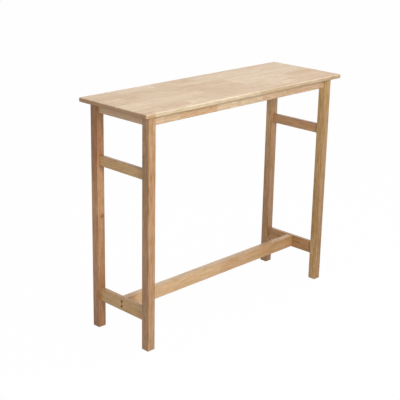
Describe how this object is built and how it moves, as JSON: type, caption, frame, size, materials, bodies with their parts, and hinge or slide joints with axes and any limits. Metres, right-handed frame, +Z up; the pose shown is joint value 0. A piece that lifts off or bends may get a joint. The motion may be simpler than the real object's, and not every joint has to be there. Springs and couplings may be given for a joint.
{
  "type": "bar table",
  "caption": "Slim bar-height table of light hardwood: flat panel top on square legs, end frames with cross rails, and one low centre stretcher.",
  "frame": {"origin": "on the floor, under the middle of the top", "axes": "+Z up, +X along the length of the top, +Y from the front long edge to the back one"},
  "size_m": [1.2, 0.4, 1],
  "materials": {
    "panel_wood": "glued-up finger-jointed rubberwood staves, clear satin lacquer",
    "leg_wood": "solid rubberwood, clear satin lacquer, straight grain up the leg",
    "rail_wood": "finger-jointed rubberwood, clear satin lacquer, grain along the rail",
    "dowel_wood": "plain beech",
    "bolt_steel": "dark zinc plating",
    "zinc_steel": "bright zinc plating"
  },
  "bodies": {
    "root": {"tabletop": "panel_wood", "front_left_leg": "leg_wood", "front_right_leg": "leg_wood", "back_left_leg": "leg_wood", "back_right_leg": "leg_wood", "front_apron": "rail_wood", "back_apron": "rail_wood", "left_end_apron": "rail_wood", "left_upper_rail": "rail_wood", "left_lower_rail": "rail_wood", "right_end_apron": "rail_wood", "right_upper_rail": "rail_wood", "right_lower_rail": "rail_wood", "stretcher": "rail_wood", "left_frame_dowels": "dowel_wood", "right_frame_dowels": "dowel_wood", "left_stretcher_bolts": "bolt_steel", "right_stretcher_bolts": "bolt_steel", "left_barrel_nuts": "zinc_steel", "right_barrel_nuts": "zinc_steel", "front_left_corner_plate": "zinc_steel", "front_right_corner_plate": "zinc_steel", "back_left_corner_plate": "zinc_steel", "back_right_corner_plate": "zinc_steel", "corner_hanger_bolts": "zinc_steel", "corner_washers": "zinc_steel", "corner_nuts": "zinc_steel", "corner_plate_screws": "zinc_steel", "long_apron_top_screws": "zinc_steel", "end_apron_top_screws": "zinc_steel"}
  },
  "joints": []
}
